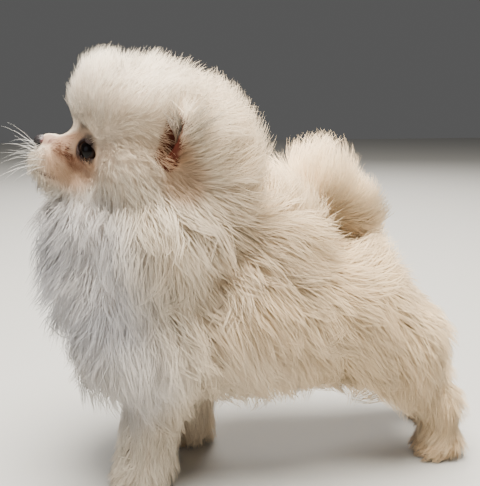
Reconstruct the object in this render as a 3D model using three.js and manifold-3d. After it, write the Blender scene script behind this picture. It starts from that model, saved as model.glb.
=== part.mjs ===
// A life-size model of a standing pomeranian puppy, about ten weeks old, in millimetres, +Z up.
// The puppy faces -X. Its own left side faces -Y, and the floor is at z = 0.
// Every fleshy form is a blend of balls and tapered rods, and the coat is built of flat, tapered locks.

import * as THREE from "three";
import { mergeVertices } from "three/addons/utils/BufferGeometryUtils.js";
import Module from "manifold-3d";

const wasm = await Module();
wasm.setup();
const vec = (x, y, z) => new THREE.Vector3(x, y, z);

// Driving sizes
const GAP = 0.35; // between neighbouring nodes
const BLEND = 9; // how softly two forms of flesh run into each other
const PAW_BLEND = 2;
const HEAD_TURN = THREE.MathUtils.degToRad(8); // the face looks a little to the puppy's left
const HEAD_PIVOT = vec(-62, 0, 160);
const STANCE = 22; // half the width between the left and right paws
const FORE_X = { left: -80, right: -55 }; // the left foreleg stands further forward
const HIND_X = { left: 83, right: 99 };
const EYE = { x: -100.8, y: 12.7, z: 167.2, r: 5.6 };
const NOSE = { x: -122.2, z: 171.2, rx: 3.3, ry: 4.2, rz: 3.1 };
const EAR = { x: -70, y: 36, z: 157, long: 27, wide: 18, deep: 9, wall: 2.2, wrap: 2.0 };
const MOST_CUT = 0.35; // a lock is left out where more of it than this share would be cut away
const COVERED = 3; // a lock is left out where its root lies this deep in a neighbour
const SEED = 20241;

// A small seeded random source, so that each build is the same.
function randomSource(seed) {
  let state = seed >>> 0;
  return () => {
    state = (state + 0x6d2b79f5) >>> 0;
    let t = Math.imul(state ^ (state >>> 15), 1 | state);
    t = (t + Math.imul(t ^ (t >>> 7), 61 | t)) ^ t;
    return ((t ^ (t >>> 14)) >>> 0) / 4294967296;
  };
}

// Forms of flesh: a ball has a centre and three radii, a rod runs from a to b and tapers from ra to rb.
const ball = (c, r) => ({ c, r });
const rod = (a, b, ra, rb) => ({ a, b, ra, rb });

function formDistance(form, p) {
  if (form.c) {
    const q = p.clone().sub(form.c);
    const k0 = q.clone().divide(form.r).length();
    const k1 = q.clone().divide(form.r).divide(form.r).length();
    return k1 < 1e-6 ? -Math.min(form.r.x, form.r.y, form.r.z) : (k0 * (k0 - 1)) / k1;
  }
  const along = form.b.clone().sub(form.a);
  const t = THREE.MathUtils.clamp(p.clone().sub(form.a).dot(along) / along.lengthSq(), 0, 1);
  const centre = form.a.clone().addScaledVector(along, t);
  return p.distanceTo(centre) - THREE.MathUtils.lerp(form.ra, form.rb, t);
}

// The distance from p to a flesh, which is a list of forms that blend.
function distance(flesh, p) {
  let d = 1e6;
  for (const form of flesh.forms) {
    const e = formDistance(form, p);
    const h = Math.max(flesh.blend - Math.abs(d - e), 0) / flesh.blend;
    d = Math.min(d, e) - (h * h * flesh.blend) / 4;
  }
  return d;
}

function normalAt(flesh, p) {
  const e = 0.5;
  const slope = (axis) =>
    distance(flesh, p.clone().addScaledVector(axis, e)) -
    distance(flesh, p.clone().addScaledVector(axis, -e));
  return vec(slope(vec(1, 0, 0)), slope(vec(0, 1, 0)), slope(vec(0, 0, 1))).normalize();
}

// The outermost point of the flesh, grown by grow, along a direction from its middle.
function surfaceAlong(flesh, direction, grow = 0) {
  const at = (s) => flesh.middle.clone().addScaledVector(direction, s);
  let outside = flesh.reach;
  while (outside > 0 && distance(flesh, at(outside)) > grow) outside -= 1.5;
  let inside = outside;
  outside += 1.5;
  for (let i = 0; i < 16; i++) {
    const half = (inside + outside) / 2;
    if (distance(flesh, at(half)) > grow) outside = half;
    else inside = half;
  }
  return at(inside);
}

// Solids
function solid(geometry) {
  const bare = new THREE.BufferGeometry();
  bare.setAttribute("position", geometry.getAttribute("position"));
  if (geometry.index) bare.setIndex(geometry.index);
  const merged = mergeVertices(bare, 1e-4);
  return new wasm.Manifold(
    new wasm.Mesh({
      numProp: 3,
      vertProperties: new Float32Array(merged.attributes.position.array),
      triVerts: new Uint32Array(merged.index.array),
    }),
  );
}

function fleshSolid(flesh, grow = 0, floor = true) {
  const geometry = new THREE.IcosahedronGeometry(1, flesh.detail);
  const place = geometry.getAttribute("position");
  const p = vec(0, 0, 0);
  for (let i = 0; i < place.count; i++) {
    p.fromBufferAttribute(place, i).normalize();
    const found = surfaceAlong(flesh, p, grow);
    if (floor) found.z = Math.max(found.z, -grow);
    place.setXYZ(i, found.x, found.y, found.z);
  }
  return solid(geometry);
}

function ballSolid(c, r, across = 14, down = 10) {
  const geometry = new THREE.SphereGeometry(1, across, down);
  geometry.scale(r.x, r.y, r.z);
  geometry.translate(c.x, c.y, c.z);
  return solid(geometry);
}

// A closed skin over rings of points, each ring of the same count. It ends in a tip or a flat cap.
// The caps of a folded ring, whose second half runs back along its first, are strips.
function loft(rings, tip, folded = false) {
  const sides = rings[0].length;
  const points = rings.flat();
  const faces = [];
  for (let i = 0; i + 1 < rings.length; i++)
    for (let j = 0; j < sides; j++) {
      const a = i * sides + j;
      const b = i * sides + ((j + 1) % sides);
      faces.push(a, b, a + sides, b, b + sides, a + sides);
    }
  const last = (rings.length - 1) * sides;
  const cap = (start, flip) => {
    const turned = (a, b, c) => faces.push(start + a, start + (flip ? c : b), start + (flip ? b : c));
    if (!folded) for (let j = 1; j + 1 < sides; j++) turned(0, j, j + 1);
    else
      for (let j = 0; j + 1 < sides / 2; j++) {
        turned(j, j + 1, sides - 1 - j);
        turned(j + 1, sides - 2 - j, sides - 1 - j);
      }
  };
  cap(0, true);
  if (tip) {
    points.push(tip);
    for (let j = 0; j < sides; j++) faces.push(last + j, last + ((j + 1) % sides), points.length - 1);
  } else cap(last, false);
  const geometry = new THREE.BufferGeometry();
  geometry.setAttribute(
    "position",
    new THREE.Float32BufferAttribute(points.flatMap((p) => p.toArray()), 3),
  );
  geometry.setIndex(faces);
  const made = solid(geometry);
  if (made.volume() > 0) return made;
  for (let i = 0; i < faces.length; i += 3) [faces[i + 1], faces[i + 2]] = [faces[i + 2], faces[i + 1]];
  geometry.setIndex(faces);
  return solid(geometry);
}

// One flat, tapered lock of the coat that leaves root along rise and bends towards lie.
// root is on the flesh, normal its outward direction there, and grow makes the room round the lock.
const LOCK_SHAPE = [
  { t: 0, wide: 0.5 },
  { t: 0.42, wide: 1 },
  { t: 0.76, wide: 0.64 },
];
function lockSolid({ root, normal, lie, long, wide, thick, lift, droop, sink }, grow = 0) {
  const start = root.clone().addScaledVector(normal, -sink);
  const away = normal
    .clone()
    .multiplyScalar(Math.sin(lift))
    .addScaledVector(lie, Math.cos(lift))
    .normalize();
  const bend = lie.clone().addScaledVector(normal, -0.5).add(vec(0, 0, -droop));
  const at = (t) => {
    const p = start.clone().addScaledVector(away, long * t);
    p.addScaledVector(bend, 0.3 * long * t * t);
    p.z = Math.max(p.z, 2.5);
    return p;
  };
  const side = lie.clone().cross(normal).normalize();
  const rings = LOCK_SHAPE.map(({ t, wide: share }) => {
    const centre = at(t);
    const along = at(t + 0.02).sub(centre).normalize();
    const out = side.clone().cross(along).normalize();
    const w = (wide * share) / 2 + grow;
    const h = (thick * share) / 2 + grow;
    return [
      centre.clone().addScaledVector(side, w).addScaledVector(out, -h),
      centre.clone().addScaledVector(out, h),
      centre.clone().addScaledVector(side, -w).addScaledVector(out, -h),
    ];
  });
  return loft(rings, at(1 + grow / long));
}

// Places locks evenly over a flesh, by a spiral of directions from its middle.
function coat(flesh, count, seed, styleAt, covers) {
  const random = randomSource(seed);
  const golden = Math.PI * (3 - Math.sqrt(5));
  const locks = [];
  for (let i = 0; i < count; i++) {
    const up = 1 - (2 * (i + 0.5)) / count;
    const round = Math.sqrt(1 - up * up);
    const turn = golden * i;
    const direction = vec(round * Math.cos(turn), up, round * Math.sin(turn));
    const root = surfaceAlong(flesh, direction);
    const normal = normalAt(flesh, root);
    const style = styleAt(root, normal);
    const vary = () => 0.85 + 0.3 * random();
    const covered = covers.some((other) => distance(other, root) < -COVERED);
    if (!style || covered) continue;
    const lie = style.lie.clone().add(vec(random() - 0.5, random() - 0.5, random() - 0.5).multiplyScalar(0.35));
    lie.addScaledVector(normal, -lie.dot(normal)).normalize();
    locks.push({
      root,
      normal,
      lie,
      long: style.long * vary(),
      wide: style.wide * vary(),
      thick: style.thick ?? 4,
      lift: style.lift * vary(),
      droop: style.droop ?? 0.2,
      sink: style.sink ?? 4,
    });
  }
  return locks;
}

// The flesh of each node
const sideSign = { left: -1, right: 1 };
const flesh = {
  head: {
    middle: vec(-80, 0, 172),
    reach: 60,
    detail: 5,
    blend: BLEND,
    forms: [
      ball(vec(-72, 0, 183), vec(31, 41, 24)),
      ball(vec(-89, 0, 187), vec(17.5, 31, 20)),
      rod(vec(-96, 0, 165), vec(-113.5, 0, 165), 13.5, 9.5),
      ball(vec(-118, -4.6, 161.8), vec(6.8, 6, 6.4)),
      ball(vec(-118, 4.6, 161.8), vec(6.8, 6, 6.4)),
      ball(vec(-114, 0, 154.8), vec(8, 6.6, 5)),
      ball(vec(-78, -23, 160), vec(21, 18, 18)),
      ball(vec(-78, 23, 160), vec(21, 18, 18)),
    ],
  },
  neck: {
    middle: vec(-62, 0, 138),
    reach: 80,
    detail: 4,
    blend: BLEND,
    forms: [
      rod(vec(-66, 0, 152), vec(-74, 0, 112), 38, 42),
      ball(vec(-68, 0, 132), vec(36, 50, 36)),
      ball(vec(-50, 0, 166), vec(27, 39, 31)),
      ball(vec(-38, 0, 146), vec(22, 38, 32)),
      ball(vec(-96, 0, 133), vec(21, 31, 20)),
      ball(vec(-101, 0, 142), vec(17, 20, 16)),
    ],
  },
  torso: {
    middle: vec(-14, 0, 86),
    reach: 120,
    detail: 4,
    blend: BLEND * 2,
    forms: [
      ball(vec(-70, 0, 80), vec(39, 47, 38)),
      ball(vec(-15, 0, 88), vec(50, 47, 43)),
      ball(vec(30, 0, 86), vec(31, 43, 36)),
      ball(vec(-12, 0, 126), vec(27, 37, 27)),
      rod(vec(-38, 0, 63), vec(44, 0, 63), 23, 21),
      ball(vec(53, -19, 66), vec(29, 22, 24)),
      ball(vec(58, 19, 66), vec(30, 22, 24)),
    ],
  },
  tail: {
    middle: vec(18, 0, 136),
    reach: 60,
    detail: 3,
    blend: BLEND,
    forms: [
      rod(vec(37, 0, 114), vec(33, 0, 134), 13, 14),
      rod(vec(33, 0, 134), vec(17, 0, 143), 14, 16),
      rod(vec(17, 0, 143), vec(-1, 0, 138), 16, 15),
    ],
  },
};
for (const side of ["left", "right"]) {
  const y = sideSign[side] * STANCE;
  const fore = FORE_X[side];
  const hind = HIND_X[side];
  flesh[`${side}_foreleg`] = {
    middle: vec(fore + 3, y, 32),
    reach: 60,
    detail: 2,
    blend: BLEND,
    forms: [rod(vec(fore + 8, y, 56), vec(fore + 1, y, 15), 17, 13.5)],
  };
  flesh[`${side}_hind_leg`] = {
    middle: vec(hind + 1, y, 30),
    reach: 60,
    detail: 2,
    blend: BLEND,
    forms: [
      rod(vec(hind - 26, y, 54), vec(hind - 3, y, 30), 17, 10.5),
      rod(vec(hind - 3, y, 30), vec(hind - 2, y, 14), 10.5, 10),
    ],
  };
  for (const [leg, x] of [["fore", fore], ["hind", hind]]) {
    const toes = [-1.5, -0.5, 0.5, 1.5].map((i) =>
      ball(vec(x - 9 + Math.abs(i) * 1.6, y + i * 5, 5.2), vec(6.2, 3.6, 5.6)),
    );
    flesh[`${side}_${leg}paw`] = {
      middle: vec(x - 2, y, 6),
      reach: 30,
      detail: 3,
      blend: PAW_BLEND,
      forms: [ball(vec(x, y, 7), vec(11, 10.5, 8.5)), ...toes],
    };
  }
}

// Where the coat of each node lies, how long it is and how far it stands off
const WIDE = 21;
const EAR_CLEAR = 19; // no lock grows this near to the middle of an ear
const nearEar = (p) => p.distanceTo(vec(EAR.x + 4, Math.sign(p.y) * EAR.y, EAR.z + 12)) < EAR_CLEAR;
const styles = {
  head: (p, n) => {
    if (p.x < -99 || (p.x < -88 && p.z < 174)) return null; // the face's own fur is short
    if (nearEar(p)) return null;
    const crown = p.z > 174;
    const brow = p.x < -84;
    return {
      lie: crown ? vec(brow ? -0.1 : 0.3, n.y * 0.6, brow ? 0.9 : 0.6) : vec(0.45, n.y * 0.3, -0.8),
      long: crown ? 18 : 22,
      wide: WIDE * 0.85,
      lift: crown && !brow ? 0.95 : 0.55,
      droop: crown ? -0.1 : 0.2,
      thick: 4,
    };
  },
  neck: (p, n) => ({
    lie: p.x < -92 ? vec(-0.35, n.y * 0.3, -0.8) : vec(0.6, n.y * 0.3, p.z > 182 ? 0.3 : -0.8),
    long: nearEar(p) ? 14 : p.z > 165 || p.x < -92 ? 24 : 32,
    wide: WIDE,
    lift: p.x < -92 || p.z > 165 ? 0.6 : 0.5,
  }),
  torso: (p, n) => ({
    lie: p.x < -86 ? vec(-0.4, n.y * 0.2, -0.85) : vec(0.6, n.y * 0.25, -0.75),
    long: p.z < 62 ? 35 : 31,
    wide: WIDE * 1.15,
    lift: p.z < 62 ? 0.5 : p.x > 40 ? 0.26 : 0.36,
    droop: p.z < 62 ? 0.7 : 0.3,
  }),
  tail: (p, n) => ({
    lie: vec(p.x > 28 ? 0.4 : -0.15, n.y * 0.6, 0.8),
    long: 22,
    wide: WIDE * 0.9,
    lift: 0.75,
    droop: -0.1,
  }),
  leg: (p) => (p.z < 12 ? null : { lie: vec(0.1, 0, -0.98), long: 17, wide: 15, lift: 0.2, thick: 4, sink: 3 }),
};

// Joins pieces and gives the one closed body that is largest.
function joined(pieces) {
  return wasm.Manifold.union(pieces);
}
function largest(made) {
  return made.decompose().reduce((best, one) => (one.volume() > best.volume() ? one : best));
}

// The ear: a pointed cup that opens forward and out, thick as a real one
function earSolid(sign, grow = 0) {
  const base = vec(EAR.x, sign * EAR.y, EAR.z);
  const up = vec(0.3, sign * 0.22, 0.92).normalize();
  const open = vec(-0.85, sign * 0.45, 0.15);
  open.addScaledVector(up, -open.dot(up)).normalize();
  const across = up.clone().cross(open).normalize();
  const spans = 7;
  const ring = (t) => {
    const taper = Math.sqrt(1 - t) * (1 - 0.15 * t);
    const centre = base.clone().addScaledVector(up, EAR.long * t);
    const arc = (inset, from, to) =>
      Array.from({ length: spans }, (_, k) => {
        const a = THREE.MathUtils.lerp(from, to, k / (spans - 1)) * EAR.wrap;
        return centre
          .clone()
          .addScaledVector(across, ((EAR.wide / 2) * taper + inset) * Math.sin(a))
          .addScaledVector(open, -((EAR.deep / 2) * taper + inset) * Math.cos(a));
      });
    const thick = Math.min(EAR.wall * (0.5 + 0.5 * taper) + grow, 0.8 * (EAR.deep / 2) * taper);
    return [...arc(grow, -1, 1), ...arc(-thick, 1, -1)];
  };
  return loft([0 - grow / EAR.long, 0.22, 0.46, 0.68, 0.85, 0.95].map(ring), null, true);
}

// The head's details: sockets, lids, lips, mouth line and nostrils
function lidRing(sign) {
  const centre = vec(EYE.x, sign * EYE.y, EYE.z);
  const outward = vec(-0.62, sign * 0.76, 0.1).normalize();
  const across = vec(0, 0, 1).cross(outward).normalize();
  const up = outward.clone().cross(across).normalize();
  const sides = 14;
  const geometry = new THREE.TorusGeometry(EYE.r * 0.86, 1.5, 6, sides);
  const basis = new THREE.Matrix4().makeBasis(across, up, outward);
  geometry.scale(1, 0.82, 1);
  geometry.applyMatrix4(basis);
  const at = centre.addScaledVector(outward, EYE.r * 0.52);
  geometry.translate(at.x, at.y, at.z);
  return solid(geometry);
}
function mouthCut(sign) {
  const points = [vec(-127, 0, 157.6), vec(-121, sign * 8, 157), vec(-112, sign * 12, 156.4), vec(-102, sign * 15, 153.5)];
  const rings = points.map((p) => [
    p.clone().add(vec(0, sign * 3, 0.5)),
    p.clone().add(vec(0, sign * 3, -0.5)),
    p.clone().add(vec(1.2, -sign * 1.8, 0)),
  ]);
  return loft(rings);
}
function noseSolid(grow = 0) {
  const r = vec(NOSE.rx + grow, NOSE.ry + grow, NOSE.rz + grow);
  const pad = ballSolid(vec(NOSE.x, 0, NOSE.z), r, 10, 8);
  if (grow) return pad;
  const hole = (sign) => ballSolid(vec(NOSE.x - 2.6, sign * 2.4, NOSE.z - 0.4), vec(1.6, 1.05, 0.8), 6, 4);
  return pad.subtract(hole(-1)).subtract(hole(1));
}
const eyeSolid = (sign, grow = 0) =>
  ballSolid(vec(EYE.x, sign * EYE.y, EYE.z), vec(EYE.r + grow, EYE.r + grow, EYE.r + grow), 12, 8);

// Turns what belongs to the head to where the puppy looks.
const turn = new THREE.Matrix4()
  .makeTranslation(HEAD_PIVOT)
  .multiply(new THREE.Matrix4().makeRotationZ(HEAD_TURN))
  .multiply(new THREE.Matrix4().makeTranslation(HEAD_PIVOT.clone().negate()));
const turned = (made) => made.transform(turn.elements);

const COUNTS = { head: 56, neck: 54, torso: 72, tail: 24, leg: 8 };
const NEIGHBOURS = {
  head: ["neck"],
  neck: ["head", "torso"],
  torso: ["neck", "tail", "left_foreleg", "right_foreleg", "left_hind_leg", "right_hind_leg"],
  tail: ["torso", "neck"],
  leg: ["torso"],
};
function lockSet(name, seed) {
  const kind = name.endsWith("leg") ? "leg" : name;
  const covers = NEIGHBOURS[kind].map((other) => flesh[other]);
  return coat(flesh[name], COUNTS[kind], seed, styles[kind], covers);
}

// Assembles the nodes in order. Each one is cut clear of those made before it.
const nodes = [];
const rooms = [];
function addNode(name, made, room, material) {
  const cut = rooms.length ? made.subtract(joined(rooms)) : made;
  const kept = largest(cut);
  nodes.push({ name, made: kept, material });
  rooms.push(room.add(kept));
}

const fur = (colour) => new THREE.MeshStandardMaterial({ color: colour, roughness: 0.9, metalness: 0 });
const CREAM = fur(0xefe6d8);
const EAR_SKIN = fur(0xd9a48c);
const GLOSS = new THREE.MeshStandardMaterial({ color: 0x120c0a, roughness: 0.08, metalness: 0 });
const NOSE_SKIN = new THREE.MeshStandardMaterial({ color: 0x1d1717, roughness: 0.4, metalness: 0 });

for (const side of ["left", "right"]) {
  const sign = sideSign[side];
  addNode(`${side}_eye`, turned(eyeSolid(sign)), turned(eyeSolid(sign, GAP)), GLOSS);
}
addNode("nose", turned(noseSolid()), turned(noseSolid(GAP)), NOSE_SKIN);
for (const side of ["left", "right"]) {
  const sign = sideSign[side];
  addNode(`${side}_ear`, turned(earSolid(sign)), turned(earSolid(sign, GAP)), EAR_SKIN);
}

// The locks that keep most of their length outside the nodes made so far
function freeLocks(locks, place) {
  const taken = joined(rooms);
  return locks.filter((lock) => {
    const made = place(lockSolid(lock));
    return made.intersect(taken).volume() < MOST_CUT * made.volume();
  });
}

function furryNode(name, seed, extras = [], cuts = [], place = (made) => made) {
  const locks = freeLocks(lockSet(name, seed), place);
  const pieces = [fleshSolid(flesh[name]), ...extras, ...locks.map((lock) => lockSolid(lock))];
  const made = cuts.reduce((body, cut) => body.subtract(cut), joined(pieces));
  const room = joined([fleshSolid(flesh[name], GAP), ...locks.map((lock) => lockSolid(lock, GAP))]);
  addNode(name, place(made), place(room), CREAM);
}

furryNode("head", SEED, [lidRing(-1), lidRing(1)], [mouthCut(-1), mouthCut(1)], turned);
for (const side of ["left", "right"]) {
  for (const paw of ["forepaw", "hindpaw"]) {
    const name = `${side}_${paw}`;
    addNode(name, fleshSolid(flesh[name]), fleshSolid(flesh[name], GAP), CREAM);
  }
}
for (const side of ["left", "right"]) {
  furryNode(`${side}_foreleg`, SEED + 1 + sideSign[side]);
  furryNode(`${side}_hind_leg`, SEED + 5 + sideSign[side]);
}
furryNode("tail", SEED + 10);
furryNode("neck", SEED + 11);
furryNode("torso", SEED + 12);

// The finished puppy, with its origin on the floor under the middle of its box
const puppy = new THREE.Group();
for (const { name, made, material } of nodes) {
  const mesh = made.getMesh();
  const geometry = new THREE.BufferGeometry();
  geometry.setAttribute("position", new THREE.BufferAttribute(new Float32Array(mesh.vertProperties), 3));
  geometry.setIndex(new THREE.BufferAttribute(new Uint32Array(mesh.triVerts), 1));
  geometry.computeVertexNormals();
  const part = new THREE.Mesh(geometry, material);
  part.name = name;
  puppy.add(part);
}
const box = new THREE.Box3().setFromObject(puppy);
const middle = box.getCenter(vec(0, 0, 0));
puppy.position.set(-middle.x, -middle.y, -box.min.z);

export default puppy;
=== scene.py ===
# The looks of a life-size model of a standing pomeranian puppy.
# One skin over the whole body, separate eyes, nose and claws, and a coat of solid mesh strands.
# Shapes are worked out in millimetres in the puppy's own frame and set into the CAD frame in metres.

import math

import bmesh
import bpy
import numpy as np
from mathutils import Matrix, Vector, kdtree


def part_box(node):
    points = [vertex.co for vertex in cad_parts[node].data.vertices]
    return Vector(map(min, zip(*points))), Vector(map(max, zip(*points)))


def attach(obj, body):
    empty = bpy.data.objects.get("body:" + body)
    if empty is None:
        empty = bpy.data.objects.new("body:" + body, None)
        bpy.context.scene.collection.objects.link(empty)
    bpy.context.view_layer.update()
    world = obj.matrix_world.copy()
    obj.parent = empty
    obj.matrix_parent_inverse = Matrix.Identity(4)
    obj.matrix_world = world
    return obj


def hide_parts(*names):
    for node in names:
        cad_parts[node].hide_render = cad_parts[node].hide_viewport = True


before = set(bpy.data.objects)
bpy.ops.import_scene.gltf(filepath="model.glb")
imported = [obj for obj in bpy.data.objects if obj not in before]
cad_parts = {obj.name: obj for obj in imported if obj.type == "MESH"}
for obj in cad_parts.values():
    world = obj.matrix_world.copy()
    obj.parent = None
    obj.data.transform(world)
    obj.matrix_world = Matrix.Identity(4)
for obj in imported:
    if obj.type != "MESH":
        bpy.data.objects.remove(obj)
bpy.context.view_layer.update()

# Driving sizes, in millimetres and radians
BLEND = 9.0
BODY_BLEND = 12.0
LEG_BLEND = 10.0
HEAD_BLEND = 8.0
TAIL_BLEND = 6.0
DETAIL_BLEND = 3.0
LID_BLEND = 2.5
PAW_BLEND = 2.0
LID_ROUNDING = 0.5
LIP_ROUNDING = 0.8
EAR_ROUNDING = 1.2
HEAD_TURN = math.radians(8)
HEAD_PIVOT = np.array([-62.0, 0.0, 160.0])
STANCE = 22.0
FORE_X = {"left": -80.0, "right": -55.0}
HIND_X = {"left": 83.0, "right": 99.0}
SIGN = {"left": -1.0, "right": 1.0}
EYE = np.array([-100.8, 12.7, 167.2])
EYE_R = 5.6
EYE_OPENING = (5.5, 3.2)
EYE_WAY = np.array([-0.66, 0.74, 0.12])
EYE_TILT = math.radians(30)
EYE_GAP = 0.25
LID = 1.0
LIP_GAP = 0.55
NOSE = np.array([-122.2, 0.0, 171.2])
EAR = np.array([-68.0, 36.0, 170.5])
EAR_SHELL = (6.5, 5.0, 15.0)
EAR_HOLLOW = (4.2, 6.0, 11.5)
EAR_HOLLOW_PLACE = (0.0, 4.2, 0.5)
SOLE = 0.4

# The skin's mesh: its cell, the box it is sought in, and how far it lies inside the solids' core
SKIN_STEP = 1.7
SKIN_LOW = (-132, -56, -4)
SKIN_HIGH = (112, 56, 214)
SKIN_DEPTH = 3.0
FINE_DEPTH = 0.7
FACE_BACK = (-78, -96)
FACE_UNDER = (144, 152)
FOOT_TOP = (26, 12)
FINE_FRONTS = (-88.0, -94.0)
FINE_BAND = (148, 180)

# The nose's mesh: its cell, and how far the box it is sought in reaches from its middle
NOSE_STEP = 0.33
NOSE_REACH = 8

# The coat: how many strands and triangles, which lengths are short or long, and how strands vary
STRANDS = 100000
COAT_TRIANGLES = 1470000
PIECE_TRIANGLES = 190000
PIECE_BOUNDS = (-90, -60, -20, 30)
SHORT_HAIR = 7.5
LONG_HAIR = 21.0
LENGTH_RANGE = (0.6, 1.12)
LIFT_RANGE = (0.7, 1.25)
WIDTH_RANGE = (0.8, 1.25)
STRAND_WIDE = (0.17, 0.43)
THICKNESS = (0.75, 1.0, 0.85, 0.5)
THICKNESS_AT = (0, 0.3, 0.6, 0.8)
LEADER_RATE = 0.8
MOST_LEADERS = 0.11
STRAY = 0.16
WAVE = 0.08
GATHER_STRAY = 0.3
GATHER_SPREAD = 0.8
HAIR_ABOVE_FLOOR = 0.7
EVEN_DENSITY = 0.5
SHORT_DENSITY = 15.0
UNDERSIDE_THINNING = 0.6
OWN_TONE = 0.7
LEADER_TONE = 0.3
DARKEST_SHORT = 0.2
DARKEST_LONG = 0.62
SHARES = np.array([0.0, 0.28, 0.55, 0.8, 1.0])
UV_PATCH = 0.003
SEED = 20241

# For short, middling and long hair, which shares of the strand have rings, and how much of its own
# shading a strand keeps
RINGS = ((0, 2, 4), (0, 1, 3, 4), (0, 1, 2, 3, 4))
OWN_SHADE = (0.9, 0.3, 0.4)

rng = np.random.default_rng(SEED)


# Small helpers for arrays of points
def unit(v):
    return v / np.maximum(np.linalg.norm(v, axis=-1, keepdims=True), 1e-9)


def smooth_step(low, high, x):
    t = np.clip((x - low) / (high - low), 0, 1)
    return t * t * (3 - 2 * t)


def on_side(point, sign):
    """A point of the right side, or its mirror image on the left where the sign is -1."""
    return np.asarray(point) * [1, sign, 1]


def head_turned(points, angle=HEAD_TURN):
    """The points turned with the head about its upright axis."""
    c, s = math.cos(angle), math.sin(angle)
    q = np.asarray(points, dtype=float) - HEAD_PIVOT
    x = c * q[..., 0] - s * q[..., 1]
    y = s * q[..., 0] + c * q[..., 1]
    return np.stack([x, y, q[..., 2]], -1) + HEAD_PIVOT


# Forms of flesh, each a function that gives the distance from an array of points
def ball(centre, radii):
    centre, radii = np.array(centre, float), np.array(radii, float)

    def distance(p):
        q = (p - centre) / radii
        k0 = np.linalg.norm(q, axis=-1)
        k1 = np.maximum(np.linalg.norm(q / radii, axis=-1), 1e-6)
        return k0 * (k0 - 1) / k1

    return distance


def rod(a, b, ra, rb):
    a, b = np.array(a, float), np.array(b, float)
    along = b - a

    def distance(p):
        t = np.clip((p - a) @ along / (along @ along), 0, 1)
        return np.linalg.norm(p - (a + t[..., None] * along), axis=-1) - (ra + (rb - ra) * t)

    return distance


def join(d, e, k):
    h = np.maximum(k - np.abs(d - e), 0) / k
    return np.minimum(d, e) - h * h * k / 4


def cut(d, e, k):
    return -join(-d, e, k)


def blended(forms, k):
    def distance(p):
        d = forms[0](p)
        for form in forms[1:]:
            d = join(d, form(p), k)
        return d

    return distance


HEAD = blended(
    [
        ball((-72, 0, 183), (31, 41, 24)),
        ball((-89, 0, 187), (17.5, 31, 20)),
        rod((-96, 0, 165), (-113.5, 0, 165), 13.5, 9.5),
        ball((-118, -4.6, 161.8), (6.8, 6, 6.4)),
        ball((-118, 4.6, 161.8), (6.8, 6, 6.4)),
        ball((-114, 0, 154.8), (8, 6.6, 5)),
        ball((-78, -23, 160), (21, 18, 18)),
        ball((-78, 23, 160), (21, 18, 18)),
    ],
    BLEND,
)
NECK = blended(
    [
        rod((-66, 0, 152), (-74, 0, 112), 38, 42),
        ball((-68, 0, 132), (36, 50, 36)),
        ball((-50, 0, 166), (27, 39, 31)),
        ball((-38, 0, 146), (22, 38, 32)),
        ball((-96, 0, 133), (21, 31, 20)),
        ball((-101, 0, 142), (17, 20, 16)),
    ],
    BLEND,
)
TORSO = blended(
    [
        ball((-70, 0, 80), (39, 47, 38)),
        ball((-15, 0, 88), (50, 47, 43)),
        ball((30, 0, 86), (31, 43, 36)),
        ball((-12, 0, 126), (27, 37, 27)),
        rod((-38, 0, 63), (44, 0, 63), 23, 21),
        ball((53, -19, 66), (29, 22, 24)),
        ball((58, 19, 66), (30, 22, 24)),
    ],
    BLEND * 2,
)
TAIL = blended(
    [
        rod((37, 0, 114), (33, 0, 134), 13, 14),
        rod((33, 0, 134), (17, 0, 143), 14, 16),
        rod((17, 0, 143), (-1, 0, 138), 16, 15),
    ],
    BLEND,
)


# Ends of the legs' rods: how far behind the paw's middle, how high, and their radius
ELBOW = (8.0, 56.0, 17.0)
WRIST = (1.0, 10.0, 13.5)
KNEE = (-26.0, 54.0, 17.0)
HOCK = (-3.0, 30.0, 10.5)
ANKLE = (-2.0, 9.0, 10.0)
TOES = (-1.5, -0.5, 0.5, 1.5)
TOE_GAP = 5.0
TOE_CURVE = 1.6
TOE_SIZE = (6.2, 3.6, 5.6)
PAW_SIZE = (11.0, 10.5, 8.5)


def bone(x, y, upper, lower):
    return rod((x + upper[0], y, upper[1]), (x + lower[0], y, lower[1]), upper[2], lower[2])


def leg(side):
    y, fore, hind = SIGN[side] * STANCE, FORE_X[side], HIND_X[side]
    hind_leg = [bone(hind, y, KNEE, HOCK), bone(hind, y, HOCK, ANKLE)]
    return [bone(fore, y, ELBOW, WRIST), blended(hind_leg, BLEND)]


def paw(x, y):
    toes = [ball((x - 9 + abs(i) * TOE_CURVE, y + i * TOE_GAP, 5.2), TOE_SIZE) for i in TOES]
    return blended([ball((x, y, 7), PAW_SIZE)] + toes, PAW_BLEND)


LEGS = [form for side in SIGN for form in leg(side)]
PAW_PLACES = [(x, SIGN[side] * STANCE) for side in SIGN for x in (FORE_X[side], HIND_X[side])]
PAWS = [paw(x, y) for x, y in PAW_PLACES]


# The face: lids, lips and ear cups, in the head's own unturned frame
def eye_axes(sign):
    """The ways out of the eye, along its opening and across the opening."""
    out = unit(on_side(EYE_WAY, sign))
    across = unit(np.cross([0, 0, 1.0], out)) * sign
    up = np.cross(out, across) * sign
    c, s = math.cos(EYE_TILT), math.sin(EYE_TILT)
    return out, c * across + s * up, c * up - s * across


def add_lids(d, p, sign):
    """The lids over an eyeball, with their opening and the socket behind it."""
    out, across, up = eye_axes(sign)
    q = p - on_side(EYE, sign)
    away = np.linalg.norm(q, axis=-1)
    d = join(d, away - (EYE_R + LID), LID_BLEND)
    wide, high = EYE_OPENING
    across_eye, up_eye = q @ across / wide, q @ up / high
    opening = (np.sqrt(across_eye**2 + up_eye**2) - 1) * high
    opening = np.maximum(opening, -(q @ out))
    d = cut(d, opening, LID_ROUNDING)
    return np.maximum(d, -(away - EYE_R + EYE_GAP))


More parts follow.
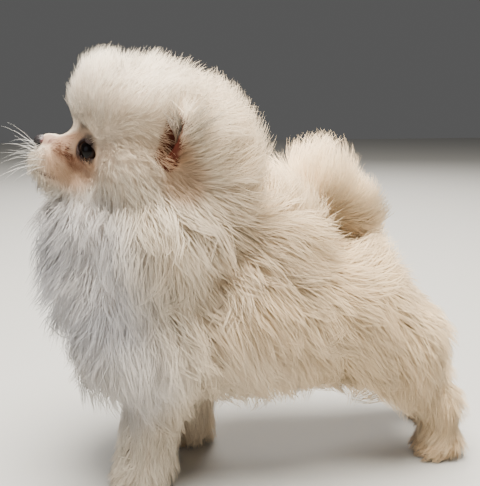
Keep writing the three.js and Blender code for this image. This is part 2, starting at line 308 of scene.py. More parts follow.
MOUTH = [
    (-126, 0.6, 160),
    (-123.5, 5.5, 157.8),
    (-119.5, 9, 155),
    (-114.5, 11.3, 152),
    (-109.5, 12.8, 149.5),
]


def mouth_distance(p, sign):
    d = np.full(p.shape[:-1], 1e3)
    for a, b in zip(MOUTH, MOUTH[1:]):
        d = np.minimum(d, rod(on_side(a, sign), on_side(b, sign), 0, 0)(p))
    return d


def ear(p, sign):
    """The cup of an ear, open to the front and outward."""
    up = unit(np.array([0.4, sign * 0.3, 0.88]))
    out = np.array([-0.9, sign * 0.4, 0.1])
    out = unit(out - (out @ up) * up)
    across = np.cross(up, out)
    q = p - on_side(EAR, sign)
    local = np.stack([q @ across, q @ out, q @ up], -1)
    shell = ball((0, 0, 0), EAR_SHELL)(local)
    hollow = ball(EAR_HOLLOW_PLACE, EAR_HOLLOW)(local)
    return cut(shell, hollow, EAR_ROUNDING)


NOSE_BED = ball(NOSE + [3.6, 0, -0.6], (4.2, 5.2, 4.0))


def depth(p, q):
    """How far the skin lies inside the solids' core, at points p that are q in the unturned head."""
    face = smooth_step(*FACE_BACK, q[..., 0]) * smooth_step(*FACE_UNDER, q[..., 2])
    foot = smooth_step(*FOOT_TOP, p[..., 2])
    return SKIN_DEPTH * (1 - face) * (1 - foot) + FINE_DEPTH * np.maximum(face, foot)


def skin_field(p):
    """The distance to the whole skin, from ears to soles."""
    q = head_turned(p, -HEAD_TURN)
    d = join(NECK(p), TORSO(p), BODY_BLEND)
    d = join(d, TAIL(p), TAIL_BLEND)
    for form in LEGS:
        d = join(d, form(p), LEG_BLEND)
    d = join(d, HEAD(q), HEAD_BLEND) + depth(p, q)
    for form in PAWS:
        d = join(d, form(p) + FINE_DEPTH, DETAIL_BLEND)
    d = join(d, NOSE_BED(q), LID_BLEND)
    for sign in (-1, 1):
        d = join(d, ear(q, sign), DETAIL_BLEND)
        d = add_lids(d, q, sign)
        d = cut(d, mouth_distance(q, sign) - LIP_GAP, LIP_ROUNDING)
    return np.maximum(d, SOLE - p[..., 2])


def slopes(field, p, e=0.35):
    """How the field's value changes along each axis."""
    steps = np.eye(3) * e
    return np.stack([(field(p + s) - field(p - s)) / (2 * e) for s in steps], -1)


def settle(field, p, rounds=4, reach=1.2):
    """Moves the points onto the field's surface."""
    for _ in range(rounds):
        g = slopes(field, p)
        move = field(p)[:, None] * g / np.maximum((g * g).sum(-1, keepdims=True), 0.2)
        length = np.linalg.norm(move, axis=-1, keepdims=True)
        p = p - move * np.minimum(1, reach / np.maximum(length, 1e-9))
    return p


def in_chunks(field, p, size=200000):
    return np.concatenate([field(p[i : i + size]) for i in range(0, len(p), size)])


def surface_net(field, low, high, step):
    """A closed net of quads over the field's surface, with one vertex in each grid cell it crosses."""
    low, high = np.array(low, float), np.array(high, float)
    count = np.ceil((high - low) / step).astype(int) + 1
    axes = [low[i] + step * np.arange(count[i]) for i in range(3)]
    grid = np.stack(np.meshgrid(*axes, indexing="ij"), -1)
    value = in_chunks(field, grid.reshape(-1, 3)).reshape(count)
    cells = count - 1
    total = np.zeros((*cells, 3))
    number = np.zeros(cells)
    edges = []
    for axis in range(3):
        first = [slice(None)] * 3
        second = [slice(None)] * 3
        first[axis], second[axis] = slice(0, -1), slice(1, None)
        a, b = value[tuple(first)], value[tuple(second)]
        crossing = np.argwhere((a < 0) != (b < 0))
        va = a[tuple(crossing.T)]
        vb = b[tuple(crossing.T)]
        point = low + crossing * step
        point[:, axis] += step * va / (va - vb)
        u, v = (axis + 1) % 3, (axis + 2) % 3
        keep = (crossing[:, u] > 0) & (crossing[:, v] > 0)
        keep &= (crossing[:, u] < cells[u]) & (crossing[:, v] < cells[v])
        crossing, point, va = crossing[keep], point[keep], va[keep]
        corner = []
        for du, dv in ((0, 0), (1, 0), (1, 1), (0, 1)):
            cell = crossing.copy()
            cell[:, u] -= du
            cell[:, v] -= dv
            np.add.at(total, tuple(cell.T), point)
            np.add.at(number, tuple(cell.T), 1)
            corner.append(np.ravel_multi_index(tuple(cell.T), cells))
        quads = np.stack(corner, 1)
        flip = va > 0
        quads[flip] = quads[flip][:, ::-1]
        edges.append(quads)
    quads = np.concatenate(edges)
    used, index = np.unique(quads, return_inverse=True)
    points = total.reshape(-1, 3)[used] / number.reshape(-1)[used][:, None]
    return points, index.reshape(quads.shape)


# Placing in the CAD frame
eye_low, eye_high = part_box("left_eye")
eye_in_cad = (np.array(eye_low) + np.array(eye_high)) / 2 * 1000
SHIFT = eye_in_cad - head_turned(on_side(EYE, -1))


def to_frame(points):
    return (np.asarray(points) + SHIFT) / 1000


def link(name, mesh):
    thing = bpy.data.objects.new(name, mesh)
    bpy.context.scene.collection.objects.link(thing)
    return thing


def move_points(mesh, points):
    mesh.vertices.foreach_set("co", to_frame(points).astype(np.float32).ravel())


def mesh_object(name, points, faces):
    mesh = bpy.data.meshes.new(name)
    faces = np.asarray(faces)
    sides = faces.shape[1]
    mesh.vertices.add(len(points))
    move_points(mesh, points)
    mesh.loops.add(faces.size)
    mesh.loops.foreach_set("vertex_index", faces.astype(np.int32).ravel())
    mesh.polygons.add(len(faces))
    mesh.polygons.foreach_set("loop_start", np.arange(0, faces.size, sides, dtype=np.int32))
    mesh.update(calc_edges=True)
    mesh.validate()
    mesh.polygons.foreach_set("use_smooth", np.full(len(mesh.polygons), True))
    return link(name, mesh)


def mesh_points(mesh):
    flat = np.empty(len(mesh.vertices) * 3)
    mesh.vertices.foreach_get("co", flat)
    return flat.reshape(-1, 3) * 1000 - SHIFT


# The skin, which stands for every node of flesh
FLESH = ["head", "neck", "torso", "tail"]
for side_name in SIGN:
    FLESH += [f"{side_name}_{part}" for part in ("ear", "foreleg", "hind_leg", "forepaw", "hindpaw")]


def refine_face(mesh, front):
    """Halves the edges of the face in front of a given x, and settles the skin again."""
    work = bmesh.new()
    work.from_mesh(mesh)
    work.verts.ensure_lookup_table()
    place = head_turned(np.array([v.co for v in work.verts]) * 1000 - SHIFT, -HEAD_TURN)
    low, high = FINE_BAND
    face = (place[:, 0] < front) & (place[:, 2] > low) & (place[:, 2] < high)
    edges = [e for e in work.edges if face[e.verts[0].index] and face[e.verts[1].index]]
    bmesh.ops.subdivide_edges(work, edges=edges, cuts=1, use_grid_fill=True)
    work.to_mesh(mesh)
    work.free()
    move_points(mesh, settle(skin_field, mesh_points(mesh), 3, 0.6))


def build_skin():
    points, quads = surface_net(skin_field, SKIN_LOW, SKIN_HIGH, SKIN_STEP)
    skin = mesh_object("skin", settle(skin_field, points, 3), quads)
    mesh = skin.data
    for front in FINE_FRONTS:
        refine_face(mesh, front)
    mesh.update()
    mesh.polygons.foreach_set("use_smooth", np.full(len(mesh.polygons), True))
    unwrap(skin)
    mesh.materials.append(skin_material())
    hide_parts(*FLESH)
    return skin


def unwrap(skin):
    bpy.context.view_layer.objects.active = skin
    skin.select_set(True)
    skin.data.uv_layers.new(name="OFBake")
    bpy.ops.object.mode_set(mode="EDIT")
    bpy.ops.mesh.select_all(action="SELECT")
    bpy.ops.uv.smart_project(angle_limit=math.radians(66), island_margin=0.002)
    bpy.ops.object.mode_set(mode="OBJECT")
    skin.select_set(False)


# Node materials
class Nodes:
    """A short way to write a node tree."""

    def __init__(self, name):
        self.material = bpy.data.materials.new(name)
        self.material.use_nodes = True
        self.tree = self.material.node_tree
        self.shader = self.tree.nodes["Principled BSDF"]

    def add(self, kind, **settings):
        node = self.tree.nodes.new(kind)
        for key, value in settings.items():
            setattr(node, key, value)
        return node

    def feed(self, socket, value):
        if isinstance(value, bpy.types.NodeSocket):
            self.tree.links.new(value, socket)
        else:
            socket.default_value = value

    def math(self, operation, a, b):
        node = self.add("ShaderNodeMath", operation=operation)
        self.feed(node.inputs[0], a)
        self.feed(node.inputs[1], b)
        return node.outputs[0]

    def step(self, value, low, high):
        node = self.add("ShaderNodeMapRange", interpolation_type="SMOOTHSTEP")
        self.feed(node.inputs["Value"], value)
        node.inputs["From Min"].default_value = low
        node.inputs["From Max"].default_value = high
        return node.outputs[0]

    def mix(self, factor, a, b):
        node = self.add("ShaderNodeMix", data_type="RGBA")
        self.feed(node.inputs[0], factor)
        self.feed(node.inputs[6], a)
        self.feed(node.inputs[7], b)
        return node.outputs[2]

    def noise(self, scale, detail=2.0):
        node = self.add("ShaderNodeTexNoise")
        node.inputs["Scale"].default_value = scale
        node.inputs["Detail"].default_value = detail
        self.feed(node.inputs["Vector"], self.place())
        return node.outputs["Fac"]

    def place(self):
        return self.add("ShaderNodeTexCoord").outputs["Object"]

    def axis(self, name):
        split = self.add("ShaderNodeSeparateXYZ")
        self.feed(split.inputs[0], self.place())
        return split.outputs[name]

    def near(self, point, radius, full):
        """1 within the full radius of a point of the puppy, falling to 0 at the radius."""
        node = self.add("ShaderNodeVectorMath", operation="DISTANCE")
        self.feed(node.inputs[0], self.place())
        node.inputs[1].default_value = to_frame(point)
        return self.step(node.outputs["Value"], radius / 1000, full / 1000)

    def attribute(self, name):
        return self.add("ShaderNodeAttribute", attribute_name=name).outputs["Fac"]

    def bump(self, height, strength, distance):
        node = self.add("ShaderNodeBump")
        node.inputs["Strength"].default_value = strength
        node.inputs["Distance"].default_value = distance
        self.feed(node.inputs["Height"], height)
        self.feed(self.shader.inputs["Normal"], node.outputs[0])


CREAM = (0.95, 0.72, 0.44, 1)
WHITE = (0.97, 0.87, 0.72, 1)
WARM_SHADE = (0.50, 0.28, 0.14, 1)
TEAR = (0.19, 0.055, 0.018, 1)
TEAR_DEEP = (0.09, 0.024, 0.007, 1)
RIM_AND_BROW_SHADE = (0.030, 0.012, 0.009, 1)
PEACH = (0.60, 0.33, 0.17, 1)
EAR_RED = (0.09, 0.014, 0.003, 1)
NOSE_PINK = (0.17, 0.07, 0.065, 1)
EAR_SLIT_SHADE = (0.30, 0.09, 0.04, 1)
COOL_SHADE = (0.86, 0.88, 0.96, 1)
LIP = (0.07, 0.035, 0.04, 1)
LID_DARK = (0.035, 0.02, 0.018, 1)
GAP_SHADE = (0.42, 0.27, 0.17, 1)
DARK_HAIR = (0.52, 0.40, 0.30, 1)
NOSE_BLACK = (0.02, 0.016, 0.018, 1)
NOSE_MOTTLE = (0.13, 0.055, 0.055, 1)
EYE_SURROUND = (0.05, 0.03, 0.026, 1)
IRIS = (0.022, 0.009, 0.005, 1)
PUPIL = (0.003, 0.002, 0.002, 1)
CLAW = (0.33, 0.25, 0.21, 1)
WHISKER = (0.9, 0.88, 0.84, 1)
FLOOR = (0.46, 0.455, 0.44, 1)

# Where the ground colour turns from white to cream, in metres, how much that edge wanders, and how
# pale the tips are
CREAM_FROM = -0.10
CREAM_FULL = 0.03
PATCH_SCALE = 22.0
PATCH_WANDER = 0.08
PALE_TIPS = 0.25

# Markings and painted shade on each side: where, before the head is turned, how far they reach, their
# colour and strength
MARKS = [
    # Painted cool shade on the front of the chest, high and low
    ((-112.0, 20.0, 108.0), 52.0, COOL_SHADE, 0.6),
    ((-98.0, 30.0, 66.0), 45.0, COOL_SHADE, 0.45),
    ((-110.0, 13.0, 162.5), 18.0, PEACH, 0.7),
    ((-110.5, 9.5, 169.5), 10.0, TEAR, 0.9),
    ((-107.0, 11.5, 162.5), 7.0, TEAR, 0.7),
    ((-111.0, 9.0, 170.5), 9.0, TEAR_DEEP, 0.85),
    # Painted shade under the brow above the eye, then the eye's real dark rim at its inner corner
    ((-103.5, 12.0, 174.0), 8.5, RIM_AND_BROW_SHADE, 0.7),
    ((-106.8, 11.0, 168.5), 5.5, RIM_AND_BROW_SHADE, 0.9),
    # Reddish-brown painted shade of the slit at the ear's opening, tinted with the red of the ear's skin
    ((-70.0, 41.0, 167.0), 9.0, EAR_SLIT_SHADE, 0.45),
    ((-69.0, 40.0, 176.0), 7.0, EAR_SLIT_SHADE, 0.3),
    ((-119.0, 4.2, 172.0), 4.6, NOSE_PINK, 0.85),
    # Painted warm shade on the cheek, under the ear and around the ear's opening
    ((-92.0, 22.0, 161.0), 15.0, WARM_SHADE, 0.35),
    ((-64.0, 44.0, 155.0), 15.0, WARM_SHADE, 0.6),
    ((-68.0, 42.0, 168.0), 12.0, WARM_SHADE, 0.6),
]


def fur_colour(nodes, lighter=0.0):
    """The colour of coat and skin alike: cream, whiter in front, with the markings and painted shade
    over it.
    """
    patches = nodes.math("SUBTRACT", nodes.noise(PATCH_SCALE), 0.5)
    along = nodes.math("ADD", nodes.axis("X"), nodes.math("MULTIPLY", patches, PATCH_WANDER))
    colour = nodes.mix(nodes.step(along, CREAM_FROM, CREAM_FULL), WHITE, CREAM)
    colour = nodes.mix(lighter, colour, WHITE)
    for place, radius, tint, strength in MARKS:
        for sign in (-1, 1):
            mask = nodes.near(head_turned(on_side(place, sign)), radius, radius / 2)
            colour = nodes.mix(nodes.math("MULTIPLY", mask, strength), colour, tint)
    return colour


def coat_material():
    nodes = Nodes("coat")
    colour = fur_colour(nodes, nodes.math("MULTIPLY", nodes.attribute("tip"), PALE_TIPS))
    shade = nodes.mix(nodes.attribute("tone"), DARK_HAIR, (1, 1, 1, 1))
    tone = nodes.add("ShaderNodeMix", data_type="RGBA", blend_type="MULTIPLY")
    nodes.feed(tone.inputs[0], 1.0)
    nodes.feed(tone.inputs[6], colour)
    nodes.feed(tone.inputs[7], shade)
    nodes.feed(nodes.shader.inputs["Base Color"], tone.outputs[2])
    nodes.shader.inputs["Roughness"].default_value = 0.62
    nodes.shader.inputs["Specular IOR Level"].default_value = 0.25
    nodes.shader.inputs["Sheen Weight"].default_value = 0.12
    nodes.shader.inputs["Sheen Roughness"].default_value = 0.5
    return nodes.material


# How far the dabs of lip colour and of red in the ear's cup reach, and how far each is full
LIP_DABS = 10
LIP_REACH = (2.4, 1.2)
CUP_REACH = (7.0, 5.0)


def along_mouth(share):
    """The point of the mouth line after that many of its stretches, up to the third."""
    first = min(int(share), 2)
    return np.array(MOUTH[first]) * (1 - share + first) + np.array(MOUTH[first + 1]) * (share - first)


def skin_material():
    """Darker than the coat over it, by painted shade of the gaps among the hairs, with dark lips and lid
    edges and red cups of the ears.
    """
    nodes = Nodes("skin")
    # Half of the colour is painted shade of the gaps among the hairs
    colour = nodes.mix(0.5, fur_colour(nodes), GAP_SHADE)
    for sign in (-1, 1):
        for share in np.linspace(0, 3, LIP_DABS):
            mask = nodes.near(head_turned(on_side(along_mouth(share), sign)), *LIP_REACH)
            colour = nodes.mix(nodes.math("MULTIPLY", mask, 0.5), colour, LIP)
        mask = nodes.near(head_turned(on_side(EYE, sign)), EYE_R + 2.2, EYE_R + 0.9)
        colour = nodes.mix(mask, colour, LID_DARK)
        for rise in (-6, 1, 8):
            cup = on_side(EAR + [-1 + 0.4 * rise, 2, rise], sign)
            colour = nodes.mix(nodes.near(head_turned(cup), *CUP_REACH), colour, EAR_RED)
    nodes.feed(nodes.shader.inputs["Base Color"], colour)
    nodes.shader.inputs["Roughness"].default_value = 0.7
    nodes.shader.inputs["Specular IOR Level"].default_value = 0.3
    nodes.bump(nodes.noise(900.0, 4.0), 0.35, 0.0004)
    return nodes.material


def plain_material(name, colour, roughness):
    nodes = Nodes(name)
    nodes.shader.inputs["Base Color"].default_value = colour
    nodes.shader.inputs["Roughness"].default_value = roughness
    return nodes


def nose_material():
    """Black grained leather, mottled with pink at the sides."""
    nodes = plain_material("nose", NOSE_BLACK, 0.42)
    colour = NOSE_BLACK
    for sign in (-1, 1):
        pink = nodes.near(head_turned(NOSE + [3.0, sign * 4.2, 0.8]), 4.4, 2.4)
        mottle = nodes.math("MULTIPLY", pink, nodes.step(nodes.noise(520.0, 3.0), 0.3, 0.55))
        colour = nodes.mix(mottle, colour, NOSE_MOTTLE)
    nodes.feed(nodes.shader.inputs["Base Color"], colour)
    grain = nodes.add("ShaderNodeTexVoronoi")
    grain.inputs["Scale"].default_value = 1300.0
    nodes.feed(grain.inputs["Vector"], nodes.place())
    nodes.bump(grain.outputs["Distance"], 0.6, 0.0003)
    return nodes.material


def eye_material(sign):
    nodes = plain_material(f"eye_{'left' if sign < 0 else 'right'}", EYE_SURROUND, 0.06)
    front = head_turned(on_side(EYE, sign) + eye_axes(sign)[0] * EYE_R)
    colour = nodes.mix(nodes.near(front, 7.4, 6.0), EYE_SURROUND, IRIS)
    colour = nodes.mix(nodes.near(front, 4.2, 3.2), colour, PUPIL)
    nodes.feed(nodes.shader.inputs["Base Color"], colour)
    nodes.shader.inputs["IOR"].default_value = 1.22
    return nodes.material


# Eyes, nose and claws
def build_eye(sign, name):
    mesh = bpy.data.meshes.new(name)
    work = bmesh.new()
    bmesh.ops.create_uvsphere(work, u_segments=40, v_segments=24, radius=EYE_R / 1000)
    work.to_mesh(mesh)
    work.free()
    mesh.polygons.foreach_set("use_smooth", np.full(len(mesh.polygons), True))
    place = Vector(to_frame(head_turned(on_side(EYE, sign))))
    for vertex in mesh.vertices:
        vertex.co = vertex.co + place
    eye = link(name, mesh)
    mesh.materials.append(eye_material(sign))
    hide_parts(name.replace("_ball", ""))
    return eye


def nose_field(p):
    """The nose leather, with its nostrils, their side slits and the groove between them."""
    q = head_turned(p, -HEAD_TURN)
    d = join(ball(NOSE, (3.3, 4.2, 3.1))(q), ball(NOSE + [1.2, 0, -2.8], (2.4, 2.2, 2.4))(q), 2.0)
    for sign in (-1, 1):
        hole = ball(NOSE + [-3.0, sign * 2.3, -0.2], (2.0, 1.05, 0.9))(q)
        slit = ball(NOSE + [-1.6, sign * 4.0, -0.9], (2.2, 1.4, 0.45))(q)
        d = cut(cut(d, hole, 0.5), slit, 0.4)
    groove = ball(NOSE + [-3.4, 0, -2.0], (1.0, 0.3, 2.6))(q)
    return cut(d, groove, 0.4)


def build_nose():
    middle = head_turned(NOSE)
    points, quads = surface_net(nose_field, middle - NOSE_REACH, middle + NOSE_REACH, NOSE_STEP)
    nose = mesh_object("nose_leather", settle(nose_field, points, 3, 0.3), quads)
    nose.data.materials.append(nose_material())
    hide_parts("nose")
    return nose


def strand_mesh(path, wide, shape, flat=0.6):
    """Closed, tapered, three-sided strands along paths, with their faces, as one set of points."""
    count, rings = path.shape[0], path.shape[1] - 1
    along = np.gradient(path, axis=1)
    side = unit(np.cross(along, np.roll(along, 1, axis=-1) + [0.3, 0.1, 0.2]))
    up = unit(np.cross(side, along))
    points = np.empty((count, rings * 3 + 1, 3))
    for ring in range(rings):
        w = (wide * shape[ring] / 2)[:, None]
        for corner in range(3):
            a = 2 * math.pi * corner / 3 + 0.5
            offset = side[:, ring] * math.cos(a) + up[:, ring] * math.sin(a) * flat
            points[:, ring * 3 + corner] = path[:, ring] + w * offset
    points[:, -1] = path[:, -1]
    faces = [(0, 1, 2)]
    for ring in range(rings - 1):
        for corner in range(3):
            a, b = ring * 3 + corner, ring * 3 + (corner + 1) % 3
            faces += [(a, a + 3, b), (b, a + 3, b + 3)]
    last = (rings - 1) * 3
    faces += [(last + (c + 1) % 3, last + c, rings * 3) for c in range(3)]
    faces = np.array(faces)
    every = (np.arange(count) * (rings * 3 + 1))[:, None, None] + faces[None]
    return points.reshape(-1, 3), every.reshape(-1, 3)


CLAW_BEND = np.array([[0, 0, 0], [-1.8, 0, 0.1], [-3.4, 0, -0.9], [-4.4, 0, -2.4]])
CLAW_WIDE = 2.2


def build_claws():
    paths = []
    for x, y in PAW_PLACES:
        for i in TOES:
            start = np.array([x - 12.5 + abs(i) * TOE_CURVE, y + i * TOE_GAP, 5.0])
            paths.append(start + CLAW_BEND)
    points, faces = strand_mesh(np.array(paths), np.full(len(paths), CLAW_WIDE), (1.0, 0.9, 0.6), 1.0)
    claws = mesh_object("claws", points, faces)
    claws.data.materials.append(plain_material("claw", CLAW, 0.35).material)
    return claws


# The coat. Each region has a place on the body (y is the distance from the middle plane), the way
# the hair lies there (y is outward), its length, how far it stands off, and how much it gathers.
REGIONS = [
    ("muzzle_top", (-116, 4, 174), (1, 0.1, 0.15), 2.2, 0.3, 0.1),
    ("muzzle_side", (-112, 11, 164), (0.8, 0.3, -0.5), 4.2, 0.75, 0.7),
    ("lip_front", (-123, 5, 162), (-0.3, 0.4, -0.8), 6.5, 1.0, 0.3),
    ("lip_side", (-116, 10, 158), (0.2, 0.4, -0.8), 5.0, 0.75, 0.6),
    ("chin", (-120, 4, 152), (-0.35, 0.15, -0.8), 8.5, 0.9, 0.35),
    ("bridge", (-110, 5, 178), (0.4, 0.3, 0.8), 4.0, 0.45, 0.1),
    ("eye_front", (-108, 10, 169), (0.5, 0.4, 0.1), 2.2, 0.3, 0.1),
    ("under_eye", (-100, 17, 159), (0.7, 0.3, -0.5), 5.0, 0.7, 0.7),
    ("eye_back", (-93, 20, 168), (0.8, 0.4, -0.2), 5.5, 0.7, 0.6),
    ("brow", (-99, 12, 180), (0.2, 0.4, 0.8), 8.0, 0.5, 0.2),
    ("forehead", (-105, 4, 189), (-0.1, 0.1, 1), 9.0, 0.75, 0.25),
    ("forehead_side", (-92, 24, 186), (0.3, 0.4, 0.8), 10.0, 0.7, 0.25),
    ("crown_front", (-93, 10, 204), (0.1, 0.4, 0.8), 11.5, 1.2, 0.2),
    ("crown", (-72, 12, 207), (0.2, 0.4, 0.7), 13.0, 1.25, 0.2),
    ("crown_side", (-76, 36, 190), (0.4, 0.3, 0.6), 13.0, 1.0, 0.25),
    ("cheek", (-88, 32, 164), (0.6, 0.2, -0.6), 8.5, 0.9, 0.75),
    ("cheek_back", (-80, 38, 163), (0.5, 0.2, -0.7), 9.0, 0.9, 0.75),
    ("cheek_low", (-82, 40, 148), (0.4, 0.2, -0.8), 18.0, 0.8, 0.7),
    ("jaw", (-99, 22, 149), (0.1, 0.3, -0.8), 13.0, 0.8, 0.7),
    ("ear_front", (-79, 39, 173), (0.5, 0.3, -0.3), 7.5, 0.9, 0.4),
    ("ear_rim", (-66, 42, 183), (0.2, 0.35, 0.85), 13.0, 0.8, 0.3),
    ("ear_back", (-57, 40, 172), (0.5, 0.45, 0.35), 18.0, 0.95, 0.35),
    ("nape", (-38, 8, 192), (0.45, 0.2, 0.7), 15.5, 1.1, 0.25),
    ("nape_side", (-38, 34, 178), (0.7, 0.3, 0.3), 19.0, 0.85, 0.35),
    ("nape_low", (-22, 20, 162), (0.6, 0.3, 0.5), 16.5, 0.9, 0.35),
    ("throat", (-117, 8, 143), (-0.75, 0.2, -0.55), 24.0, 1.0, 0.5),
    ("throat_low", (-117, 10, 128), (-0.65, 0.15, -0.45), 30.0, 1.1, 0.55),
    ("ruff_front", (-113, 10, 110), (-0.5, 0.1, -0.7), 30.0, 0.95, 0.6),
    ("ruff_side", (-80, 48, 130), (0.25, 0.2, -0.9), 31.0, 0.95, 0.65),
    ("ruff_back", (-45, 46, 130), (0.5, 0.2, -0.75), 30.0, 0.85, 0.65),
    ("chest_low", (-106, 10, 75), (-0.4, 0.2, -0.85), 32.0, 0.6, 0.7),
    ("shoulder", (-70, 47, 92), (0.3, 0.12, -0.95), 32.0, 0.7, 0.8),
    ("elbow", (-60, 38, 58), (0.3, 0, -0.9), 26.0, 0.35, 0.7),
    ("tail_tip", (-15, 10, 142), (-0.7, 0.3, 0.6), 22.0, 0.9, 0.35),
    ("tail_root", (32, 27, 117), (0.25, 0.1, 0.8), 24.0, 0.75, 0.45),
    ("rump_top", (56, 14, 104), (0.6, 0.2, 0.1), 18.0, 0.8, 0.4),
    ("withers", (-14, 16, 152), (0.3, 0.3, 0.8), 19.0, 1.1, 0.3),
    ("back", (20, 15, 124), (0.9, 0.2, 0.1), 21.0, 0.7, 0.4),
    ("side_high", (-5, 42, 120), (0.75, 0.15, -0.4), 26.0, 0.7, 0.55),
    ("flank", (0, 48, 92), (0.65, 0.12, -0.75), 29.0, 0.62, 0.7),
    ("belly_side", (-10, 32, 52), (0.4, 0, -0.9), 27.0, 0.45, 0.85),
    ("belly_back", (40, 32, 52), (0.3, 0, -0.95), 27.0, 0.45, 0.85),
    ("belly", (0, 0, 42), (0.4, 0, -0.9), 17.0, 0.5, 0.6),
    ("loin", (45, 40, 92), (0.6, 0.1, -0.75), 23.0, 0.42, 0.55),
    ("rump", (74, 14, 86), (0.6, 0.1, -0.7), 17.0, 0.55, 0.4),
    ("thigh", (70, 37, 60), (0.35, 0.05, -0.9), 20.0, 0.35, 0.6),
    ("thigh_back", (84, 20, 58), (0.4, 0.05, -0.9), 21.0, 0.5, 0.65),
    ("hock_front", (76, 24, 30), (-0.3, 0.1, -0.9), 13.0, 0.6, 0.4),
    ("hock", (84, 31, 30), (0.1, 0, -0.98), 14.0, 0.4, 0.4),
    ("hind_paw", (78, 22, 8), (-0.7, 0, -0.4), 7.5, 0.6, 0.6),
    ("foreleg_top", (-76, 38, 46), (0.1, 0, -1), 18.0, 0.35, 0.6),
    ("foreleg_low", (-78, 35, 24), (0.0, 0, -1), 15.0, 0.55, 0.6),
    ("fore_paw", (-86, 22, 8), (-0.6, 0, -0.5), 8.5, 0.6, 0.6),
    ("tail_base", (49, 8, 112), (0.4, 0.2, 0.6), 15.0, 0.9, 0.35),
    ("tail_back", (44, 6, 140), (0.15, 0.3, 0.9), 11.0, 1.0, 0.25),
    ("tail_top", (18, 6, 157), (0.0, 0.3, 0.9), 19.5, 1.2, 0.25),
    ("tail_front", (-8, 8, 154), (-0.45, 0.3, 0.7), 22.0, 1.1, 0.3),
    ("tail_side", (18, 18, 138), (0.2, 0.3, 0.8), 19.0, 0.85, 0.3),
]
REGION_PLACE = np.array([r[1] for r in REGIONS], float)
REGION_LIE = np.array([r[2] for r in REGIONS], float)
REGION_LONG = np.array([r[3] for r in REGIONS], float)
REGION_LIFT = np.array([r[4] for r in REGIONS], float)
REGION_GATHER = np.array([r[5] for r in REGIONS], float)
REGION_CORE = 1.5
REGION_FALL = 4
PARTING = 1.6
PARTING_REACH = 4.5


def style_at(p):
    """The coat's lie, length, lift and gathering at points of the body."""
    on_head = smooth_step(-50, -70, p[:, 0]) * smooth_step(140, 155, p[:, 2])
    q = p + on_head[:, None] * (head_turned(p, -HEAD_TURN) - p)
    side = np.sign(p[:, 1]) * smooth_step(0, 3, np.abs(p[:, 1]))
    q = np.stack([q[:, 0], np.abs(q[:, 1]), q[:, 2]], -1)
    gap = np.linalg.norm(q[:, None] - REGION_PLACE[None], axis=-1)
    weight = 1 / (gap + REGION_CORE) ** REGION_FALL
    weight /= weight.sum(1, keepdims=True)
    # Hair near an eye lies away from it.
    from_eye = q - EYE
    gap = np.linalg.norm(from_eye, axis=1, keepdims=True)
    fall = np.exp(-((np.maximum(gap - EYE_R, 0) / PARTING_REACH) ** 2))
    parting = PARTING * from_eye / gap * fall
    lie = unit(weight @ REGION_LIE) + parting
    lie[:, 1] *= side
    return lie, weight @ REGION_LONG, weight @ REGION_LIFT, weight @ REGION_GATHER


def skin_samples(skin, count):
    """Seeded roots over the skin, denser where the hair is short, with their places on its unwrap."""
    mesh = skin.data
    mesh.calc_loop_triangles()
    triangles = np.empty(len(mesh.loop_triangles) * 3, np.int32)
    loops = triangles.copy()
    mesh.loop_triangles.foreach_get("vertices", triangles)
    mesh.loop_triangles.foreach_get("loops", loops)
    triangles, loops = triangles.reshape(-1, 3), loops.reshape(-1, 3)
    place = mesh_points(mesh)
    flat = np.empty(len(mesh.loops) * 2)
    mesh.uv_layers["OFBake"].data.foreach_get("uv", flat)
    uv = flat.reshape(-1, 2)
    corner = place[triangles]
    area = np.linalg.norm(np.cross(corner[:, 1] - corner[:, 0], corner[:, 2] - corner[:, 0]), axis=1) / 2
    middle = corner.mean(1)
    long = style_at(middle)[1]
    density = EVEN_DENSITY + SHORT_DENSITY / np.maximum(long, 2.5)
    downward = smooth_step(0.2, 0.9, -slopes(skin_field, middle)[:, 2])
    density *= 1 - UNDERSIDE_THINNING * downward * (middle[:, 2] < 60)
    share = np.cumsum(area * density)
    pick = np.searchsorted(share, rng.random(count) * share[-1])
    a, b = rng.random(count), rng.random(count)
    over = a + b > 1
    a[over], b[over] = 1 - a[over], 1 - b[over]
    mix = np.stack([1 - a - b, a, b], -1)[..., None]
    return (corner[pick] * mix).sum(1), (uv[loops[pick]] * mix).sum(1)


def bald(p):
    """Where no hair grows: eyes, nose, mouth line, the cups of the ears and the soles."""
    q = head_turned(p, -HEAD_TURN)
    none = np.zeros(len(p), bool)
    for sign in (-1, 1):
        out, across, up = eye_axes(sign)
        from_eye = q - on_side(EYE, sign)
        wide, high = EYE_OPENING
        from_middle = np.hypot(from_eye @ across / (wide + LID), from_eye @ up / (high + LID))
        none |= (from_middle < 1) & (from_eye @ out > 0)
        none |= mouth_distance(q, sign) < 0.7
        from_cup = q - on_side(EAR + [-1.5, 3.5, -1], sign)
        none |= np.linalg.norm(from_cup / [2.8, 6, 9.5], axis=1) < 1
    none |= np.linalg.norm((q - NOSE) / [6, 5.6, 5.2], axis=1) < 1
    return none | (p[:, 2] < 2.0)


def strand_paths(root, normal, lie, long, lift, sway):
    """Each path leaves its root at the lift, bends towards the lie and droops a little."""
    rise = unit(normal * np.sin(lift)[:, None] + lie * np.cos(lift)[:, None])
    upright = 0.12 * lift + 1.3 * np.maximum(lift - 0.75, 0)
    bend = unit(lie + normal * upright[:, None])
    droop = np.array([0, 0, -0.18]) * (long / 25)[:, None]
    path = [root - normal * 0.4]
    for i in range(1, len(SHARES)):
        t = (SHARES[i] + SHARES[i - 1]) / 2
        wave = sway * np.sin(t * 8 + sway[:, :1] * 40)
        way = unit(rise * (1 - t) + bend * t * 0.9 + droop * t + wave)
        path.append(path[-1] + way * (long * (SHARES[i] - SHARES[i - 1]))[:, None])
    return np.stack(path, 1)


